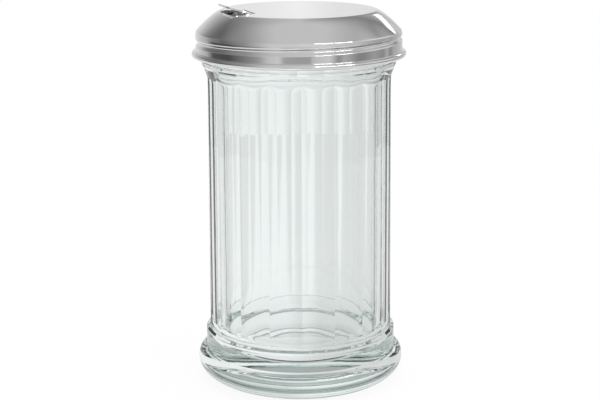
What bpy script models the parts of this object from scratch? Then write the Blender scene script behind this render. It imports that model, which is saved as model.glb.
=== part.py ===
"""A glass sugar dispenser with a screwed metal lid, whose small flap covers the pouring hole.

Lengths are in metres and +Z is up. The foot of the jar rests on z = 0 and the jar's axis is the Z axis.
The pouring hole and its flap point to -X, turned by the heading towards -Y.
"""

import math

import bmesh
import bpy
from mathutils import Matrix

# Sizes shared by every piece
TOUCH_GAP = 0.0003
CUT_OVERRUN = 0.003
COLUMNS_PER_FLAT = 4
SMOOTH_ANGLE = math.radians(30)

# Jar, inside
CAVITY_R = 0.0325
FLOOR_THICKNESS = 0.0112
FLOOR_BEND_WIDTH = 0.0185
FLOOR_BEND_HEIGHT = 0.0138
MOUTH_ROUND = 0.0008
MOUTH_TAPER_HEIGHT = 0.023

# Jar, outside, from the foot up
FLATS = 18
FLAT_TURN = math.radians(11.3)
FOOT_INSET = 0.0107
FOOT_RING_WIDTH = 0.005
FOOT_RECESS = 0.0008
BULGE_PROUD = 0.0032
BULGE_HEIGHT = 0.0083
BULGE_SHOULDER = 0.0033
BULGE_TOP_HEIGHT = 0.0041
RING_PROUD = 0.00182
RING_HEIGHT = 0.0077
RING_EDGE = 0.0008
LEDGE_RISE = 0.0007
WALL = 0.00288
FLATS_TAPER = 0.00052
FLATS_HEIGHT = 0.0983
FLARE_PROUD = 0.00234
FLARE_SINK = 0.0005
FLARE_HEIGHT = 0.0067
COLLAR_ROUND = 0.0013
NECK_STEP = 0.0003
NECK_WALL = 0.0037
NECK_HEIGHT = 0.0127
LIP_TAPER = 0.001
LIP_HEIGHT = 0.0016

# Screw thread of the neck, and the groove that is rolled into the lid to run under it
PITCH = 0.0042
THREAD_HEIGHT = 0.00175
THREAD_BASE = 0.0022
THREAD_CREST = 0.0009
THREAD_ROOT = 0.0004
THREAD_CLEARANCE = 0.00035
THREAD_PLAY = 0.0002
THREAD_STEP = math.radians(6)
THREAD_FADE = math.radians(30)
NECK_THREAD_START = math.radians(-500)
NECK_THREAD_END = math.radians(-40)
GROOVE_DROP = 0.00395
GROOVE_DEPTH = 0.0009
GROOVE_WIDTH = 0.0021
GROOVE_FLOOR = 0.0006
GROOVE_START = math.radians(-285)
GROOVE_END = math.radians(35)

# Sealing ring between the jar's lip and the lid
LINER_INSET = 0.0011
LINER_WIDTH = 0.0015
LINER_THICKNESS = 0.0008

# Lid, one pressed sheet
SHEET = 0.0005
CROWN_HEIGHT = 0.0044
CROWN_FLAT_INSET = 0.0104
CROWN_BEND = 0.0025
CROWN_EDGE_ANGLE = math.radians(20)
SHOULDER_ANGLE = math.radians(47)
SHOULDER_INSET = 0.0005
SHOULDER_DROP = 0.0075
BEAD_ROUND = 0.0012
BEAD_LEAN = math.radians(10)
SKIRT_GAP = 0.0012
ROLL_R = 0.00115
ROLL_PROUD = 0.0015

# Pouring hole
HEADING = math.radians(20)
HOLE_INSET = 0.02
HOLE_LENGTH = 0.0104
HOLE_NEAR_WIDTH = 0.0139
HOLE_FAR_WIDTH = 0.0185
HOLE_CORNER = 0.003

# Flap, hinge pin and bracket
FLAP_TILT = math.radians(16.2)
FLAP_SHEET = 0.0006
FLAP_SIDE_GAP = 0.0006
FLAP_NARROWING = 0.002
FLAP_CORNER = 0.0026
FLAP_LENGTH = 0.0087
FLAP_HEEL = 0.0018
RISER_HEIGHT = 0.0008
RISER_LENGTH = 0.0016
PIN_R = 0.0008
PIN_HEAD_R = 0.0012
PIN_HEAD_LENGTH = 0.0004
PIN_FIT = 0.0002
KNUCKLE_WALL = 0.0006
TAIL_LENGTH = 0.0042
TAIL_WIDTH = 0.006
EAR_SHEET = 0.0006
EAR_BACK_HEIGHT = 0.001
FLANGE_LENGTH = 0.0032

# How finely curves are divided
BROAD_STEPS = 8
FILLET_STEPS = 5
EDGE_STEPS = 3
ROUND_STEPS = 24
HALVINGS = 40

# Radii and heights that follow from the sizes above
FLATS_LOW_R = CAVITY_R + WALL
FLATS_HIGH_R = FLATS_LOW_R - FLATS_TAPER
RING_R = FLATS_LOW_R + RING_PROUD
BULGE_R = RING_R + BULGE_PROUD
FOOT_R = BULGE_R - FOOT_INSET
COLLAR_R = FLATS_HIGH_R + FLARE_PROUD
NECK_R = COLLAR_R - NECK_STEP
MOUTH_R = NECK_R - NECK_WALL
LIP_R = NECK_R - LIP_TAPER
RING_Z = BULGE_HEIGHT + BULGE_TOP_HEIGHT
LEDGE_Z = RING_Z + RING_HEIGHT
FLARE_Z = LEDGE_Z + FLATS_HEIGHT
COLLAR_Z = FLARE_Z + FLARE_HEIGHT
NECK_Z = COLLAR_Z + COLLAR_ROUND
LIP_Z = NECK_Z + NECK_HEIGHT
LINER_Z = LIP_Z + TOUCH_GAP
LINER_TOP_Z = LINER_Z + LINER_THICKNESS
LINER_R = LIP_R - LINER_INSET
THREAD_R = NECK_R + THREAD_HEIGHT
LID_INNER_R = THREAD_R + THREAD_CLEARANCE
LID_R = LID_INNER_R + SHEET
LID_FOOT_Z = NECK_Z + SKIRT_GAP
CROWN_Z = LINER_TOP_Z + SHEET + CROWN_HEIGHT
CROWN_UNDER_Z = CROWN_Z - SHEET
CROWN_FLAT_R = LID_R - CROWN_FLAT_INSET
SHOULDER_END_R = LID_R - SHOULDER_INSET
SHOULDER_END_Z = CROWN_Z - SHOULDER_DROP
GROOVE_Z = LIP_Z - GROOVE_DROP
RIDGE_ROOT_R = LID_INNER_R + SHEET / 2
RIDGE_ROOT_WIDTH = GROOVE_WIDTH + SHEET
RIDGE_CREST_WIDTH = GROOVE_FLOOR + SHEET
KNUCKLE_R = PIN_R + PIN_FIT + KNUCKLE_WALL
BLADE_UNDER = KNUCKLE_R + RISER_HEIGHT
BLADE_TOP = BLADE_UNDER + FLAP_SHEET
PIN_Z = CROWN_UNDER_Z - TOUCH_GAP - KNUCKLE_R
HOLE_NEAR_REACH = LID_R - HOLE_INSET
PIN_REACH = HOLE_NEAR_REACH + BLADE_TOP + TOUCH_GAP
FLAP_ROOT_WIDTH = HOLE_NEAR_WIDTH - 2 * FLAP_SIDE_GAP


def clear_scene():
    for old in list(bpy.data.objects):
        bpy.data.objects.remove(old)


def make_material(name, colour, roughness, metallic=0.0, transmission=0.0):
    material = bpy.data.materials.new(name)
    material.use_nodes = True
    shader = material.node_tree.nodes["Principled BSDF"]
    shader.inputs["Base Color"].default_value = (*colour, 1.0)
    shader.inputs["Roughness"].default_value = roughness
    shader.inputs["Metallic"].default_value = metallic
    shader.inputs["Transmission Weight"].default_value = transmission
    return material


def make_object(name, bm, material=None):
    """An object from a bmesh, its faces turned outwards. Without a material it is a hidden tool."""
    bmesh.ops.recalc_face_normals(bm, faces=bm.faces)
    mesh = bpy.data.meshes.new(name)
    bm.to_mesh(mesh)
    bm.free()
    made = bpy.data.objects.new(name, mesh)
    bpy.context.scene.collection.objects.link(made)
    if material is None:
        made.hide_render = True
        made.display_type = "WIRE"
    else:
        mesh.materials.append(material)
        mesh.shade_smooth()
        mesh.set_sharp_from_angle(angle=SMOOTH_ANGLE)
    return made


def combine(target, tool, operation):
    step = target.modifiers.new(tool.name, "BOOLEAN")
    step.operation = operation
    step.object = tool
    step.solver = "EXACT"


def turned(name, meridian, material=None, ring=False):
    """A turned solid. meridian(angle) gives one column's (radius, height) points, the same count for all.
    A ring closes on itself. Any other meridian gets a flat disc at its first and at its last point."""
    bm = bmesh.new()
    columns = FLATS * COLUMNS_PER_FLAT
    rows = []
    for column in range(columns):
        angle = FLAT_TURN + math.tau * column / columns
        along, across = math.cos(angle), math.sin(angle)
        rows.append([bm.verts.new((r * along, r * across, z)) for r, z in meridian(angle)])
    count = len(rows[0])
    for column, here in enumerate(rows):
        there = rows[(column + 1) % columns]
        for i in range(count if ring else count - 1):
            j = (i + 1) % count
            bm.faces.new((here[i], here[j], there[j], there[i]))
    if not ring:
        bm.faces.new([points[0] for points in rows])
        bm.faces.new([points[-1] for points in rows])
    return make_object(name, bm, material)


def plate(name, outline, low, high, matrix=None, material=None):
    """The closed outline, a list of (x, y), as a plate from z = low to z = high, then moved by the matrix."""
    bm = bmesh.new()
    base = bm.faces.new([bm.verts.new((x, y, low)) for x, y in outline])
    grown = bmesh.ops.extrude_face_region(bm, geom=[base])
    lifted = [part for part in grown["geom"] if isinstance(part, bmesh.types.BMVert)]
    bmesh.ops.translate(bm, verts=lifted, vec=(0, 0, high - low))
    if matrix is not None:
        bmesh.ops.transform(bm, matrix=matrix, verts=bm.verts)
    return make_object(name, bm, material)


def rod(name, radius, length, material=None):
    """A cylinder along Y, centred on the origin."""
    bm = bmesh.new()
    bmesh.ops.create_cone(
        bm,
        cap_ends=True,
        segments=ROUND_STEPS,
        radius1=radius,
        radius2=radius,
        depth=length,
        matrix=Matrix.Rotation(math.pi / 2, 4, "X"),
    )
    return make_object(name, bm, material)


def box_outline(x_low, x_high, width):
    half = width / 2
    return [(x_low, -half), (x_high, -half), (x_high, half), (x_low, half)]


def arc(centre_r, centre_z, reach_r, reach_z, first, last, steps):
    """Points of an elliptical arc, both ends included. Angle zero points away from the axis."""
    points = []
    for i in range(steps + 1):
        angle = first + (last - first) * i / steps
        points.append((centre_r + reach_r * math.cos(angle), centre_z + reach_z * math.sin(angle)))
    return points


def curve_at(start, middle, end, share):
    """A point of a quadratic Bezier curve."""
    left = 1 - share
    return tuple(
        left * left * a + 2 * left * share * b + share * share * c
        for a, b, c in zip(start, middle, end)
    )


def share_at_radius(curve, radius):
    """How far along a Bezier curve that widens upwards it reaches the radius."""
    low, high = 0.0, 1.0
    for _ in range(HALVINGS):
        share = (low + high) / 2
        if curve_at(*curve, share)[0] < radius:
            low = share
        else:
            high = share
    return low


def fan(near, far, near_width, far_width, corner):
    """The outline of a fan that widens towards -X, from x = -near to x = -far, with two round far corners."""
    lean = math.atan2((far_width - near_width) / 2, far - near)
    turn = math.pi / 2 + lean
    inset = corner * math.tan(turn / 2)
    centre_x = corner - far
    centre_y = far_width / 2 - inset
    outline = [(-near, near_width / 2)]
    for i in range(FILLET_STEPS + 1):
        angle = math.pi / 2 - lean + turn * i / FILLET_STEPS
        outline.append((centre_x + corner * math.cos(angle), centre_y + corner * math.sin(angle)))
    return outline + [(x, -y) for x, y in reversed(outline)]


def jar_meridian(angle):
    """The jar's outline in this direction, from under the foot, up the outside and down to the inner floor."""
    step = math.tau / FLATS
    corner_factor = 1 / math.cos((angle - FLAT_TURN) % step - step / 2)
    recess_r = FOOT_R - FOOT_RING_WIDTH
    points = [(recess_r - FOOT_RECESS, FOOT_RECESS), (recess_r, 0)]
    points += arc(FOOT_R, BULGE_HEIGHT, BULGE_R - FOOT_R, BULGE_HEIGHT, -math.pi / 2, 0, BROAD_STEPS)
    last = math.acos(1 - BULGE_PROUD / BULGE_SHOULDER)
    rise = BULGE_TOP_HEIGHT / math.sin(last)
    points += arc(BULGE_R - BULGE_SHOULDER, BULGE_HEIGHT, BULGE_SHOULDER, rise, 0, last, FILLET_STEPS)[1:]
    ring_r, ring_z = RING_R - RING_EDGE, LEDGE_Z - RING_EDGE
    points += arc(ring_r, ring_z, RING_EDGE, RING_EDGE, 0, math.pi / 2, EDGE_STEPS)
    points.append((FLATS_LOW_R * corner_factor, LEDGE_Z + LEDGE_RISE))

    middle_share = 0.54
    middle_r = FLATS_HIGH_R + (FLARE_PROUD + FLARE_SINK) / 2
    flare = (
        (FLATS_HIGH_R - FLARE_SINK, FLARE_Z),
        (middle_r, FLARE_Z + FLARE_HEIGHT * middle_share),
        (COLLAR_R, COLLAR_Z),
    )
    start_share = share_at_radius(flare, FLATS_HIGH_R * corner_factor)
    for i in range(FILLET_STEPS + 1):
        points.append(curve_at(*flare, start_share + (1 - start_share) * i / FILLET_STEPS))
    points += arc(NECK_R, COLLAR_Z, NECK_STEP, COLLAR_ROUND, 0, math.pi / 2, EDGE_STEPS)[1:]
    points += arc(LIP_R, LIP_Z - LIP_HEIGHT, LIP_TAPER, LIP_HEIGHT, 0, math.pi / 2, EDGE_STEPS)

    edge_r, edge_z = MOUTH_R + MOUTH_ROUND, LIP_Z - MOUTH_ROUND
    points += arc(edge_r, edge_z, MOUTH_ROUND, MOUTH_ROUND, math.pi / 2, math.pi, EDGE_STEPS)
    points.append((CAVITY_R, edge_z - MOUTH_TAPER_HEIGHT))
    floor_r, floor_z = CAVITY_R - FLOOR_BEND_WIDTH, FLOOR_THICKNESS + FLOOR_BEND_HEIGHT
    points += arc(floor_r, floor_z, FLOOR_BEND_WIDTH, FLOOR_BEND_HEIGHT, 0, -math.pi / 2, BROAD_STEPS)
    return points


def helix(name, height, start, end, root_r, crest_r, root_width, crest_width):
    """A right-hand ridge with sloping flanks. Its middle passes the height at angle zero, and it sinks
    into its root at both ends."""
    bm = bmesh.new()
    steps = round((end - start) / THREAD_STEP)
    sections = []
    for i in range(steps + 1):
        angle = start + (end - start) * i / steps
        to_end = min(angle - start, end - angle)
        full_share = min(1.0, to_end / THREAD_FADE)
        least_share = 0.05
        reach = crest_r - root_r
        top_r = root_r + reach * max(full_share, least_share)
        middle = height + PITCH * angle / math.tau
        along, across = math.cos(angle), math.sin(angle)
        corners = (
            (root_r, -root_width / 2),
            (top_r, -crest_width / 2),
            (top_r, crest_width / 2),
            (root_r, root_width / 2),
        )
        sections.append([bm.verts.new((r * along, r * across, middle + z)) for r, z in corners])
    for here, there in zip(sections, sections[1:]):
        for j, corner in enumerate(here):
            following = (j + 1) % len(here)
            bm.faces.new((corner, here[following], there[following], there[j]))
    bm.faces.new(sections[0])
    bm.faces.new(sections[-1])
    return make_object(name, bm)


def width_at(radius, root_r, crest_r, root_width, crest_width):
    share = (radius - root_r) / (crest_r - root_r)
    return root_width + (crest_width - root_width) * share


def make_jar(glass):
    jar = turned("glass_jar", jar_meridian, glass)
    ridge_width = width_at(
        THREAD_R,
        RIDGE_ROOT_R,
        LID_INNER_R - GROOVE_DEPTH,
        RIDGE_ROOT_WIDTH,
        RIDGE_CREST_WIDTH,
    )
    thread_z = GROOVE_Z + (ridge_width + THREAD_CREST) / 2 + THREAD_PLAY
    thread = helix(
        "neck_thread_tool",
        thread_z,
        NECK_THREAD_START,
        NECK_THREAD_END,
        NECK_R - THREAD_ROOT,
        THREAD_R,
        THREAD_BASE,
        THREAD_CREST,
    )
    combine(jar, thread, "UNION")
    return jar


def make_liner(plastic):
    inner = LINER_R - LINER_WIDTH
    outline = [(inner, LINER_Z), (LINER_R, LINER_Z), (LINER_R, LINER_TOP_Z), (inner, LINER_TOP_Z)]
    return turned("rim_liner", lambda angle: outline, plastic, ring=True)


def lid_outside():
    """The outer side of the pressed sheet: flat crown, tight bend, curved shoulder, bead and leaning wall."""
    points = arc(
        CROWN_FLAT_R,
        CROWN_Z - CROWN_BEND,
        CROWN_BEND,
        CROWN_BEND,
        math.pi / 2,
        math.pi / 2 - CROWN_EDGE_ANGLE,
        EDGE_STEPS,
    )
    start_r, start_z = points[-1]
    gentle, steep = math.tan(CROWN_EDGE_ANGLE), math.tan(SHOULDER_ANGLE)
    meet = (steep * (SHOULDER_END_R - start_r) - (start_z - SHOULDER_END_Z)) / (steep - gentle)
    shoulder = (
        (start_r, start_z),
        (start_r + meet, start_z - gentle * meet),
        (SHOULDER_END_R, SHOULDER_END_Z),
    )
    points += [curve_at(*shoulder, i / BROAD_STEPS) for i in range(1, BROAD_STEPS + 1)]
    bead_r = SHOULDER_END_R - BEAD_ROUND * math.sin(SHOULDER_ANGLE)
    bead_z = SHOULDER_END_Z - BEAD_ROUND * math.cos(SHOULDER_ANGLE)
    first = math.pi / 2 - SHOULDER_ANGLE
    points += arc(bead_r, bead_z, BEAD_ROUND, BEAD_ROUND, first, BEAD_LEAN, EDGE_STEPS)[1:]
    lean_r, lean_z = points[-1]
    points.append((LID_R, lean_z - (LID_R - lean_r) / math.tan(BEAD_LEAN)))
    return points


def inset_points(points, distance):
    """The points moved square to their line, towards the axis and down."""
    moved = []
    for i, (r, z) in enumerate(points):
        before = points[max(i - 1, 0)]
        after = points[min(i + 1, len(points) - 1)]
        run_r, run_z = after[0] - before[0], after[1] - before[1]
        if i == 0:
            run_z = 0
        if i == len(points) - 1:
            run_r = 0
        length = math.hypot(run_r, run_z)
        moved.append((r + run_z / length * distance, z - run_r / length * distance))
    return moved


def make_lid(steel):
    outside = lid_outside()
    roll_r = LID_R + ROLL_PROUD - ROLL_R
    roll_z = LID_FOOT_Z + ROLL_R
    first = math.acos((LID_R - roll_r) / ROLL_R)
    last = math.tau - math.acos((LID_INNER_R - roll_r) / ROLL_R)
    roll = arc(roll_r, roll_z, ROLL_R, ROLL_R, first, last - math.tau, BROAD_STEPS)
    outline = outside + roll + list(reversed(inset_points(outside, SHEET)))
    lid = turned("lid_shell", lambda angle: outline, steel)

    ridge = helix(
        "lid_ridge_tool",
        GROOVE_Z,
        GROOVE_START,
        GROOVE_END,
        RIDGE_ROOT_R,
        LID_INNER_R - GROOVE_DEPTH,
        RIDGE_ROOT_WIDTH,
        RIDGE_CREST_WIDTH,
    )
    combine(lid, ridge, "UNION")
    groove = helix(
        "lid_groove_tool",
        GROOVE_Z,
        GROOVE_START,
        GROOVE_END,
        LID_R + SHEET,
        LID_R - GROOVE_DEPTH,
        GROOVE_WIDTH + SHEET,
        GROOVE_FLOOR,
    )
    combine(lid, groove, "DIFFERENCE")
    hole = fan(
        HOLE_NEAR_REACH,
        HOLE_NEAR_REACH + HOLE_LENGTH,
        HOLE_NEAR_WIDTH,
        HOLE_FAR_WIDTH,
        HOLE_CORNER,
    )
    hole_low = CROWN_UNDER_Z - CUT_OVERRUN
    tool = plate("hole_tool", hole, hole_low, CROWN_Z + CUT_OVERRUN, Matrix.Rotation(HEADING, 4, "Z"))
    combine(lid, tool, "DIFFERENCE")
    return lid


def hinge_centre():
    return (-PIN_REACH * math.cos(HEADING), -PIN_REACH * math.sin(HEADING), PIN_Z)


def hang(made):
    """Moves a piece that was made around the origin to the hinge pin, turned with the pouring hole."""
    made.location = hinge_centre()
    made.rotation_euler = (0, 0, HEADING)


def make_flap(steel):
    """A fan-shaped blade whose narrow heel swings between the ears, with its knuckle and its stop tail."""
    tilt = Matrix.Rotation(FLAP_TILT, 4, "Y")
    far_width = HOLE_FAR_WIDTH - FLAP_NARROWING
    neck = CROWN_Z - PIN_Z + FLAP_SIDE_GAP
    blade = box_outline(-neck, FLAP_HEEL, FLAP_ROOT_WIDTH)[1:3]
    blade += fan(neck, FLAP_LENGTH, FLAP_ROOT_WIDTH, far_width, FLAP_CORNER)
    flap = plate("pour_flap", blade, BLADE_UNDER, BLADE_TOP, tilt, steel)
    riser_outline = box_outline(-RISER_LENGTH / 2, RISER_LENGTH / 2, FLAP_ROOT_WIDTH)
    riser = plate("riser_tool", riser_outline, 0, BLADE_UNDER + FLAP_SHEET / 2, tilt)
    knuckle = rod("knuckle_tool", KNUCKLE_R, FLAP_ROOT_WIDTH)
    tail_outline = box_outline(0, TAIL_LENGTH, TAIL_WIDTH)
    tail = plate("tail_tool", tail_outline, KNUCKLE_R - FLAP_SHEET, KNUCKLE_R)
    bore = rod("bore_tool", PIN_R + PIN_FIT, FLAP_ROOT_WIDTH + CUT_OVERRUN)
    for tool in (riser, knuckle, tail):
        hang(tool)
        combine(flap, tool, "UNION")
    hang(bore)
    combine(flap, bore, "DIFFERENCE")
    hang(flap)
    return flap


def make_bracket(steel):
    """Two ears for the pin, joined by a flange that is welded under the crown behind the flap's tail."""
    inner = FLAP_ROOT_WIDTH / 2 + TOUCH_GAP
    outer = inner + EAR_SHEET
    flange_start = math.hypot(TAIL_LENGTH, KNUCKLE_R) + TOUCH_GAP
    flange_end = flange_start + FLANGE_LENGTH
    ear = arc(0, 0, KNUCKLE_R, KNUCKLE_R, math.pi / 2, 3 * math.pi / 2, BROAD_STEPS)
    ear += [(KNUCKLE_R, -KNUCKLE_R), (flange_end, KNUCKLE_R - EAR_BACK_HEIGHT), (flange_end, KNUCKLE_R)]
    upright = Matrix.Rotation(math.pi / 2, 4, "X")
    bracket = plate("hinge_bracket", ear, -outer, -inner, upright, steel)
    other = plate("ear_tool", ear, inner, outer, upright)
    flange_outline = box_outline(flange_start, flange_end, inner + outer)
    flange = plate("flange_tool", flange_outline, KNUCKLE_R - EAR_SHEET, KNUCKLE_R)
    eye = rod("eye_tool", PIN_R + PIN_FIT, 2 * outer + CUT_OVERRUN)
    for tool in (other, flange):
        hang(tool)
        combine(bracket, tool, "UNION")
    hang(eye)
    combine(bracket, eye, "DIFFERENCE")
    hang(bracket)
    return bracket


def make_pin(steel):
    outer = FLAP_ROOT_WIDTH / 2 + TOUCH_GAP + EAR_SHEET + TOUCH_GAP
    pin = rod("hinge_pin", PIN_R, 2 * outer + PIN_HEAD_LENGTH, steel)
    heads = []
    for side in (-1, 1):
        head = rod("pin_head_tool", PIN_HEAD_R, PIN_HEAD_LENGTH)
        head.data.transform(Matrix.Translation((0, side * (outer + PIN_HEAD_LENGTH / 2), 0)))
        heads.append(head)
    for head in heads:
        hang(head)
        combine(pin, head, "UNION")
    hang(pin)
    return pin


clear_scene()
pressed_glass = make_material("pressed_glass", (0.86, 0.93, 0.9), 0.02, transmission=1.0)
liner_plastic = make_material("liner_plastic", (0.85, 0.85, 0.83), 0.5)
polished_steel = make_material("polished_steel", (0.72, 0.72, 0.71), 0.12, metallic=1.0)
plain_steel = make_material("plain_steel", (0.6, 0.6, 0.59), 0.3, metallic=1.0)

make_jar(pressed_glass)
make_liner(liner_plastic)
make_lid(polished_steel)
make_bracket(plain_steel)
make_pin(plain_steel)
make_flap(polished_steel)
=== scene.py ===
# %% [markdown]
# A glass sugar dispenser with a screwed metal lid and a small pouring flap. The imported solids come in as
# a fixed frame: they carry the joints and the true sizes. On top of them this lesson makes the pieces
# that are seen, finer than the solids but in the same places, and gives each one the finish of its real
# material. Everything is in metres, +Z is up, and the jar's axis is the Z axis.

import math

import bmesh
import bpy
from mathutils import Matrix, Vector


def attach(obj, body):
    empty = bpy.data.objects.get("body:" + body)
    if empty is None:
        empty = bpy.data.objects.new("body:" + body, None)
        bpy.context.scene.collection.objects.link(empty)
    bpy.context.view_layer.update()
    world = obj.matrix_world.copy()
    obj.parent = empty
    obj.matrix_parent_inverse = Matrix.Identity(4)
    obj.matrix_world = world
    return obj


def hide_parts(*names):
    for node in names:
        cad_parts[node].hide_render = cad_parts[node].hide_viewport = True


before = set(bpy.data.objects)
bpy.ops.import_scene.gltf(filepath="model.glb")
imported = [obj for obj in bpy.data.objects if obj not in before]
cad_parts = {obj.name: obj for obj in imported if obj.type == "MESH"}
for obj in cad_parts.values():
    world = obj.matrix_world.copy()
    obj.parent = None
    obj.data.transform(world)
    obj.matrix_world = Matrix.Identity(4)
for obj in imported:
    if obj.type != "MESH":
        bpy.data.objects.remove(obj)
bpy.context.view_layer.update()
PER_METRE = 1000.0


def mm(length):
    """A length in metres, as text in millimetres."""
    return f"{PER_METRE * length:.2f} mm"


# %% [markdown]
# The sizes are those of the solids, named once here. They could be measured from the solids' meshes, but
# a named list reads like the maker's drawing and each size can be changed alone. The glass jar is
# pressed in an iron mould, which gives it 18 flat sides, a swelling foot, a ledge and a flared collar.
# The neck above the collar carries a screw thread. The lid is one drawn sheet of stainless steel with a
# groove rolled into it, which runs under the thread.

# %% Sizes of the jar
FLATS = 18
FLAT_TURN = math.radians(11.3)
TOUCH_GAP = 0.0003
CAVITY_R = 0.0325
FLOOR_THICKNESS = 0.0112
FLOOR_BEND_WIDTH = 0.0185
FLOOR_BEND_HEIGHT = 0.0138
MOUTH_ROUND = 0.0008
MOUTH_TAPER_HEIGHT = 0.023
FOOT_INSET = 0.0107
FOOT_RING_WIDTH = 0.005
FOOT_RECESS = 0.0008
BULGE_PROUD = 0.0032
BULGE_HEIGHT = 0.0083
BULGE_SHOULDER = 0.0033
BULGE_TOP_HEIGHT = 0.0041
RING_PROUD = 0.00182
RING_HEIGHT = 0.0077
RING_EDGE = 0.0008
LEDGE_RISE = 0.0007
WALL = 0.00288
FLATS_TAPER = 0.00052
FLATS_HEIGHT = 0.0983
FLARE_PROUD = 0.00234
FLARE_SINK = 0.0005
FLARE_HEIGHT = 0.0067
COLLAR_ROUND = 0.0013
NECK_STEP = 0.0003
NECK_WALL = 0.0037
NECK_HEIGHT = 0.0127
LIP_TAPER = 0.001
LIP_HEIGHT = 0.0016

FLATS_LOW_R = CAVITY_R + WALL
FLATS_HIGH_R = FLATS_LOW_R - FLATS_TAPER
RING_R = FLATS_LOW_R + RING_PROUD
BULGE_R = RING_R + BULGE_PROUD
FOOT_R = BULGE_R - FOOT_INSET
COLLAR_R = FLATS_HIGH_R + FLARE_PROUD
NECK_R = COLLAR_R - NECK_STEP
MOUTH_R = NECK_R - NECK_WALL
LIP_R = NECK_R - LIP_TAPER
RING_Z = BULGE_HEIGHT + BULGE_TOP_HEIGHT
LEDGE_Z = RING_Z + RING_HEIGHT
FLARE_Z = LEDGE_Z + FLATS_HEIGHT
COLLAR_Z = FLARE_Z + FLARE_HEIGHT
NECK_Z = COLLAR_Z + COLLAR_ROUND
LIP_Z = NECK_Z + NECK_HEIGHT
print("jar: foot", mm(2 * BULGE_R), "across, flats", mm(2 * FLATS_LOW_R), "across, lip at", mm(LIP_Z))

# %% Sizes of the thread, the liner and the lid
PITCH = 0.0042
THREAD_HEIGHT = 0.00175
THREAD_BASE = 0.0022
THREAD_CREST = 0.0009
THREAD_CLEARANCE = 0.00035
THREAD_PLAY = 0.0002
THREAD_FADE = math.radians(30)
NECK_THREAD_START = math.radians(-500)
NECK_THREAD_END = math.radians(-40)
GROOVE_DROP = 0.00395
GROOVE_DEPTH = 0.0009
GROOVE_WIDTH = 0.0021
GROOVE_FLOOR = 0.0006
GROOVE_START = math.radians(-285)
GROOVE_END = math.radians(35)
LINER_INSET = 0.0011
LINER_WIDTH = 0.0015
LINER_THICKNESS = 0.0008
SHEET = 0.0005
CROWN_HEIGHT = 0.0044
CROWN_FLAT_INSET = 0.0104
CROWN_BEND = 0.0025
CROWN_EDGE_ANGLE = math.radians(20)
SHOULDER_ANGLE = math.radians(47)
SHOULDER_INSET = 0.0005
SHOULDER_DROP = 0.0075
BEAD_ROUND = 0.0012
BEAD_LEAN = math.radians(10)
SKIRT_GAP = 0.0012
ROLL_R = 0.00115
ROLL_PROUD = 0.0015

LINER_Z = LIP_Z + TOUCH_GAP
LINER_TOP_Z = LINER_Z + LINER_THICKNESS
LINER_R = LIP_R - LINER_INSET
THREAD_R = NECK_R + THREAD_HEIGHT
LID_INNER_R = THREAD_R + THREAD_CLEARANCE
LID_R = LID_INNER_R + SHEET
LID_FOOT_Z = NECK_Z + SKIRT_GAP
CROWN_Z = LINER_TOP_Z + SHEET + CROWN_HEIGHT
CROWN_UNDER_Z = CROWN_Z - SHEET
CROWN_FLAT_R = LID_R - CROWN_FLAT_INSET
SHOULDER_END_R = LID_R - SHOULDER_INSET
SHOULDER_END_Z = CROWN_Z - SHOULDER_DROP
GROOVE_Z = LIP_Z - GROOVE_DROP
print("lid:", mm(2 * (LID_R + ROLL_PROUD)), "across, crown at", mm(CROWN_Z), "and thread pitch", mm(PITCH))

# %% Sizes of the pouring hole, the flap and its hinge
HEADING = math.radians(20)
HOLE_INSET = 0.02
HOLE_LENGTH = 0.0104
HOLE_NEAR_WIDTH = 0.0139
HOLE_FAR_WIDTH = 0.0185
# The solid's corners are 3 mm: in the photograph they look rounder
HOLE_CORNER = 0.0045
FLAP_TILT = math.radians(16.2)
FLAP_SHEET = 0.0006
FLAP_SIDE_GAP = 0.0006
FLAP_NARROWING = 0.002
FLAP_CORNER = 0.0026
FLAP_LENGTH = 0.0087
FLAP_HEEL = 0.0018
RISER_HEIGHT = 0.0008
RISER_LENGTH = 0.0016
PIN_R = 0.0008
PIN_HEAD_R = 0.0012
PIN_HEAD_LENGTH = 0.0004
PIN_HEAD_DOME = PIN_HEAD_LENGTH / 3
PIN_FIT = 0.0002
KNUCKLE_WALL = 0.0006
TAIL_LENGTH = 0.0042
TAIL_WIDTH = 0.006
EAR_SHEET = 0.0006
EAR_BACK_HEIGHT = 0.001
FLANGE_LENGTH = 0.0032

KNUCKLE_R = PIN_R + PIN_FIT + KNUCKLE_WALL
BLADE_UNDER = KNUCKLE_R + RISER_HEIGHT
BLADE_TOP = BLADE_UNDER + FLAP_SHEET
PIN_Z = CROWN_UNDER_Z - TOUCH_GAP - KNUCKLE_R
HOLE_NEAR_REACH = LID_R - HOLE_INSET
PIN_REACH = HOLE_NEAR_REACH + BLADE_TOP + TOUCH_GAP
FLAP_ROOT_WIDTH = HOLE_NEAR_WIDTH - 2 * FLAP_SIDE_GAP
HINGE_CENTRE = Vector((-PIN_REACH * math.cos(HEADING), -PIN_REACH * math.sin(HEADING), PIN_Z))
print("hinge pin at", [mm(v) for v in HINGE_CENTRE])

# %% [markdown]
# Most pieces here are turned forms, so one helper makes them: it takes a column of (radius, height)
# points for each direction and joins the columns into a skin. A spin modifier would do for a plain round
# form, but the jar's flats and the lid's groove change with the direction, and a column per direction
# can follow that. A flat cap closes the skin at either end of the columns, unless they are closed rings.

# %% Helpers for meshes
def mesh_object(name, points, faces):
    """A new object in the scene from points and faces."""
    mesh = bpy.data.meshes.new(name)
    mesh.from_pydata(points, [], faces)
    mesh.validate()
    made = bpy.data.objects.new(name, mesh)
    bpy.context.scene.collection.objects.link(made)
    return made


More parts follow.
